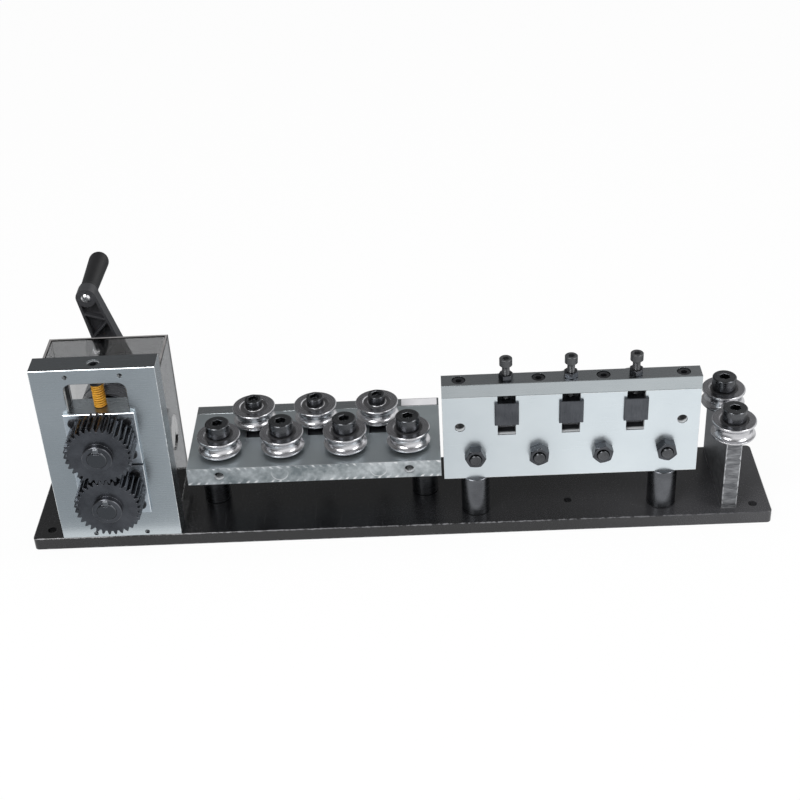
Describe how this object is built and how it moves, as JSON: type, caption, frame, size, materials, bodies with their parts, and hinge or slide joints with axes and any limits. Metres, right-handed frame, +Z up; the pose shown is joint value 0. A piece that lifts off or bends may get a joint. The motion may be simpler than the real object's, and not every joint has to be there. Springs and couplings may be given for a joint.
{
  "type": "wire straightener",
  "caption": "Hand-cranked bench wire straightener: geared feed rolls, a flat and an upright bank of grooved rollers with screw-adjusted carriages, and an inlet guide on one baseplate.",
  "frame": {"origin": "centre of the underside of the baseplate", "axes": "+X along the wire towards the inlet guide, +Y to the rear (crank side), +Z up"},
  "size_m": [0.776, 0.2498, 0.2464],
  "materials": {
    "painted_base": "gloss black",
    "plated_plate": "satin plated, milled edges",
    "post_steel": "turned, dark",
    "mill_steel": "sawn, unpolished",
    "black_oxide": "black oxide, oiled",
    "polished_steel": "polished",
    "block_steel": "milled, dark",
    "gear_black": "black oxide, oiled",
    "roll_steel": "ground",
    "spring_yellow": "gloss",
    "smoked_acrylic": "smoked, clear",
    "black_plastic": "moulded, matte",
    "bright_screw": "zinc plated"
  },
  "bodies": {
    "machine_frame": {"baseplate": "painted_base", "posts": "post_steel", "flat_plate": "plated_plate", "upright_plate": "plated_plate", "adjusting_bars": "plated_plate", "m8_screws": "black_oxide", "fixed_axles": "black_oxide", "axle_nuts": "black_oxide", "lock_nuts": "black_oxide", "guide_upright": "mill_steel", "gear_plate": "plated_plate", "lower_block": "block_steel", "lower_block_screws": "black_oxide", "smoked_cover": "smoked_acrylic", "pressure_spring": "spring_yellow"},
    "upper_bearing": {"upper_block": "block_steel", "upper_block_screws": "black_oxide"},
    "crank_shaft": {"upper_roll_shaft": "roll_steel", "upper_gear": "gear_black", "crank_arm": "black_plastic", "grip_spindle": "bright_screw"},
    "grip": {"crank_grip": "black_plastic"},
    "lower_shaft": {"lower_roll_shaft": "roll_steel", "lower_gear": "gear_black"},
    "spring_seat": {"spring_cap": "black_oxide"},
    "pressure_adjuster": {"pressure_screw": "black_oxide"},
    "flat_roller_front_1_wheel": {"flat_roller_front_1": "polished_steel"},
    "flat_roller_front_2_wheel": {"flat_roller_front_2": "polished_steel"},
    "flat_roller_front_3_wheel": {"flat_roller_front_3": "polished_steel"},
    "flat_roller_front_4_wheel": {"flat_roller_front_4": "polished_steel"},
    "flat_1_carriage": {"flat_slide_1": "black_oxide", "flat_slide_axle_1": "black_oxide"},
    "flat_1_adjusting_screw": {"flat_adjuster_1": "black_oxide"},
    "flat_roller_rear_1_wheel": {"flat_roller_rear_1": "polished_steel"},
    "flat_2_carriage": {"flat_slide_2": "black_oxide", "flat_slide_axle_2": "black_oxide"},
    "flat_2_adjusting_screw": {"flat_adjuster_2": "black_oxide"},
    "flat_roller_rear_2_wheel": {"flat_roller_rear_2": "polished_steel"},
    "flat_3_carriage": {"flat_slide_3": "black_oxide", "flat_slide_axle_3": "black_oxide"},
    "flat_3_adjusting_screw": {"flat_adjuster_3": "black_oxide"},
    "flat_roller_rear_3_wheel": {"flat_roller_rear_3": "polished_steel"},
    "upright_roller_low_1_wheel": {"upright_roller_low_1": "polished_steel"},
    "upright_roller_low_2_wheel": {"upright_roller_low_2": "polished_steel"},
    "upright_roller_low_3_wheel": {"upright_roller_low_3": "polished_steel"},
    "upright_roller_low_4_wheel": {"upright_roller_low_4": "polished_steel"},
    "upright_1_carriage": {"upright_slide_1": "black_oxide", "upright_slide_axle_1": "black_oxide"},
    "upright_1_adjusting_screw": {"upright_adjuster_1": "black_oxide"},
    "upright_roller_high_1_wheel": {"upright_roller_high_1": "polished_steel"},
    "upright_2_carriage": {"upright_slide_2": "black_oxide", "upright_slide_axle_2": "black_oxide"},
    "upright_2_adjusting_screw": {"upright_adjuster_2": "black_oxide"},
    "upright_roller_high_2_wheel": {"upright_roller_high_2": "polished_steel"},
    "upright_3_carriage": {"upright_slide_3": "black_oxide", "upright_slide_axle_3": "black_oxide"},
    "upright_3_adjusting_screw": {"upright_adjuster_3": "black_oxide"},
    "upright_roller_high_3_wheel": {"upright_roller_high_3": "polished_steel"},
    "guide_roller_front_wheel": {"guide_roller_front": "polished_steel"},
    "guide_roller_rear_wheel": {"guide_roller_rear": "polished_steel"}
  },
  "joints": [
    {"name": "upper_block_lift", "type": "slide", "parent": "machine_frame", "child": "upper_bearing", "axis": [0, 0, 1], "range_m": [0, 0.0025], "stiffness_N_per_m": 20000, "springref_m": -0.002, "deforming": ["pressure_spring"]},
    {"name": "crank_turn", "type": "hinge", "parent": "upper_bearing", "child": "crank_shaft", "pos_m": [-0.2925, 0, 0.142], "axis": [0, 1, 0], "continuous": true},
    {"name": "grip_spin", "type": "hinge", "parent": "crank_shaft", "child": "grip", "pos_m": [-0.31568, 0.1, 0.23567], "axis": [0, 1, 0], "continuous": true},
    {"name": "lower_shaft_turn", "type": "hinge", "parent": "machine_frame", "child": "lower_shaft", "pos_m": [-0.2925, 0, 0.078], "axis": [0, 1, 0], "continuous": true},
    {"name": "pressure_cap_slide", "type": "slide", "parent": "machine_frame", "child": "spring_seat", "axis": [0, 0, 1], "range_m": [-0.003, 0.0012], "deforming": ["pressure_spring"]},
    {"name": "pressure_screw_turn", "type": "hinge", "parent": "spring_seat", "child": "pressure_adjuster", "pos_m": [-0.2925, -0.0475, 0.2], "axis": [0, 0, 1], "range_deg": [-619.2, 248.91]},
    {"name": "flat_roller_front_1_spin", "type": "hinge", "parent": "machine_frame", "child": "flat_roller_front_1_wheel", "pos_m": [-0.1825, -0.03, 0.11], "axis": [0, 0, 1], "continuous": true},
    {"name": "flat_roller_front_2_spin", "type": "hinge", "parent": "machine_frame", "child": "flat_roller_front_2_wheel", "pos_m": [-0.1175, -0.03, 0.11], "axis": [0, 0, 1], "continuous": true},
    {"name": "flat_roller_front_3_spin", "type": "hinge", "parent": "machine_frame", "child": "flat_roller_front_3_wheel", "pos_m": [-0.0525, -0.03, 0.11], "axis": [0, 0, 1], "continuous": true},
    {"name": "flat_roller_front_4_spin", "type": "hinge", "parent": "machine_frame", "child": "flat_roller_front_4_wheel", "pos_m": [0.0125, -0.03, 0.11], "axis": [0, 0, 1], "continuous": true},
    {"name": "flat_1_carriage_slide", "type": "slide", "parent": "machine_frame", "child": "flat_1_carriage", "axis": [0, 1, 0], "range_m": [-0.0094, 0.007]},
    {"name": "flat_1_adjuster_turn", "type": "hinge", "parent": "flat_1_carriage", "child": "flat_1_adjusting_screw", "pos_m": [-0.15, 0.06, 0.087], "axis": [0, 1, 0], "range_deg": [-2710.08, 2018.88]},
    {"name": "flat_roller_rear_1_spin", "type": "hinge", "parent": "flat_1_carriage", "child": "flat_roller_rear_1_wheel", "pos_m": [-0.15, 0.0196, 0.11], "axis": [0, 0, 1], "continuous": true},
    {"name": "flat_2_carriage_slide", "type": "slide", "parent": "machine_frame", "child": "flat_2_carriage", "axis": [0, 1, 0], "range_m": [-0.0094, 0.007]},
    {"name": "flat_2_adjuster_turn", "type": "hinge", "parent": "flat_2_carriage", "child": "flat_2_adjusting_screw", "pos_m": [-0.085, 0.06, 0.087], "axis": [0, 1, 0], "range_deg": [-2710.08, 2018.88]},
    {"name": "flat_roller_rear_2_spin", "type": "hinge", "parent": "flat_2_carriage", "child": "flat_roller_rear_2_wheel", "pos_m": [-0.085, 0.0196, 0.11], "axis": [0, 0, 1], "continuous": true},
    {"name": "flat_3_carriage_slide", "type": "slide", "parent": "machine_frame", "child": "flat_3_carriage", "axis": [0, 1, 0], "range_m": [-0.0094, 0.007]},
    {"name": "flat_3_adjuster_turn", "type": "hinge", "parent": "flat_3_carriage", "child": "flat_3_adjusting_screw", "pos_m": [-0.02, 0.06, 0.087], "axis": [0, 1, 0], "range_deg": [-2710.08, 2018.88]},
    {"name": "flat_roller_rear_3_spin", "type": "hinge", "parent": "flat_3_carriage", "child": "flat_roller_rear_3_wheel", "pos_m": [-0.02, 0.0196, 0.11], "axis": [0, 0, 1], "continuous": true},
    {"name": "upright_roller_low_1_spin", "type": "hinge", "parent": "machine_frame", "child": "upright_roller_low_1_wheel", "pos_m": [0.0805, -0.01, 0.09], "axis": [0, 1, 0], "continuous": true},
    {"name": "upright_roller_low_2_spin", "type": "hinge", "parent": "machine_frame", "child": "upright_roller_low_2_wheel", "pos_m": [0.1455, -0.01, 0.09], "axis": [0, 1, 0], "continuous": true},
    {"name": "upright_roller_low_3_spin", "type": "hinge", "parent": "machine_frame", "child": "upright_roller_low_3_wheel", "pos_m": [0.2105, -0.01, 0.09], "axis": [0, 1, 0], "continuous": true},
    {"name": "upright_roller_low_4_spin", "type": "hinge", "parent": "machine_frame", "child": "upright_roller_low_4_wheel", "pos_m": [0.2755, -0.01, 0.09], "axis": [0, 1, 0], "continuous": true},
    {"name": "upright_1_carriage_slide", "type": "slide", "parent": "machine_frame", "child": "upright_1_carriage", "axis": [0, 0, 1], "range_m": [-0.0094, 0.007]},
    {"name": "upright_1_adjuster_turn", "type": "hinge", "parent": "upright_1_carriage", "child": "upright_1_adjusting_screw", "pos_m": [0.113, -0.033, 0.18], "axis": [0, 0, 1], "range_deg": [-2710.08, 2018.88]},
    {"name": "upright_roller_high_1_spin", "type": "hinge", "parent": "upright_1_carriage", "child": "upright_roller_high_1_wheel", "pos_m": [0.113, -0.01, 0.1396], "axis": [0, 1, 0], "continuous": true},
    {"name": "upright_2_carriage_slide", "type": "slide", "parent": "machine_frame", "child": "upright_2_carriage", "axis": [0, 0, 1], "range_m": [-0.0094, 0.007]},
    {"name": "upright_2_adjuster_turn", "type": "hinge", "parent": "upright_2_carriage", "child": "upright_2_adjusting_screw", "pos_m": [0.178, -0.033, 0.18], "axis": [0, 0, 1], "range_deg": [-2710.08, 2018.88]},
    {"name": "upright_roller_high_2_spin", "type": "hinge", "parent": "upright_2_carriage", "child": "upright_roller_high_2_wheel", "pos_m": [0.178, -0.01, 0.1396], "axis": [0, 1, 0], "continuous": true},
    {"name": "upright_3_carriage_slide", "type": "slide", "parent": "machine_frame", "child": "upright_3_carriage", "axis": [0, 0, 1], "range_m": [-0.0094, 0.007]},
    {"name": "upright_3_adjuster_turn", "type": "hinge", "parent": "upright_3_carriage", "child": "upright_3_adjusting_screw", "pos_m": [0.243, -0.033, 0.18], "axis": [0, 0, 1], "range_deg": [-2710.08, 2018.88]},
    {"name": "upright_roller_high_3_spin", "type": "hinge", "parent": "upright_3_carriage", "child": "upright_roller_high_3_wheel", "pos_m": [0.243, -0.01, 0.1396], "axis": [0, 1, 0], "continuous": true},
    {"name": "guide_roller_front_spin", "type": "hinge", "parent": "machine_frame", "child": "guide_roller_front_wheel", "pos_m": [0.344, -0.039, 0.11], "axis": [0, 0, 1], "continuous": true},
    {"name": "guide_roller_rear_spin", "type": "hinge", "parent": "machine_frame", "child": "guide_roller_rear_wheel", "pos_m": [0.344, 0.019, 0.11], "axis": [0, 0, 1], "continuous": true}
  ],
  "couplings": [
    {"joint": "lower_shaft_turn", "follows": "crank_turn", "ratio": -1},
    {"joint": "pressure_screw_turn", "follows": "pressure_cap_slide", "rad_per_m": 3590.4},
    {"joint": "flat_1_adjuster_turn", "follows": "flat_1_carriage_slide", "rad_per_m": 5026.5},
    {"joint": "flat_2_adjuster_turn", "follows": "flat_2_carriage_slide", "rad_per_m": 5026.5},
    {"joint": "flat_3_adjuster_turn", "follows": "flat_3_carriage_slide", "rad_per_m": 5026.5},
    {"joint": "upright_1_adjuster_turn", "follows": "upright_1_carriage_slide", "rad_per_m": 5026.5},
    {"joint": "upright_2_adjuster_turn", "follows": "upright_2_carriage_slide", "rad_per_m": 5026.5},
    {"joint": "upright_3_adjuster_turn", "follows": "upright_3_carriage_slide", "rad_per_m": 5026.5}
  ]
}
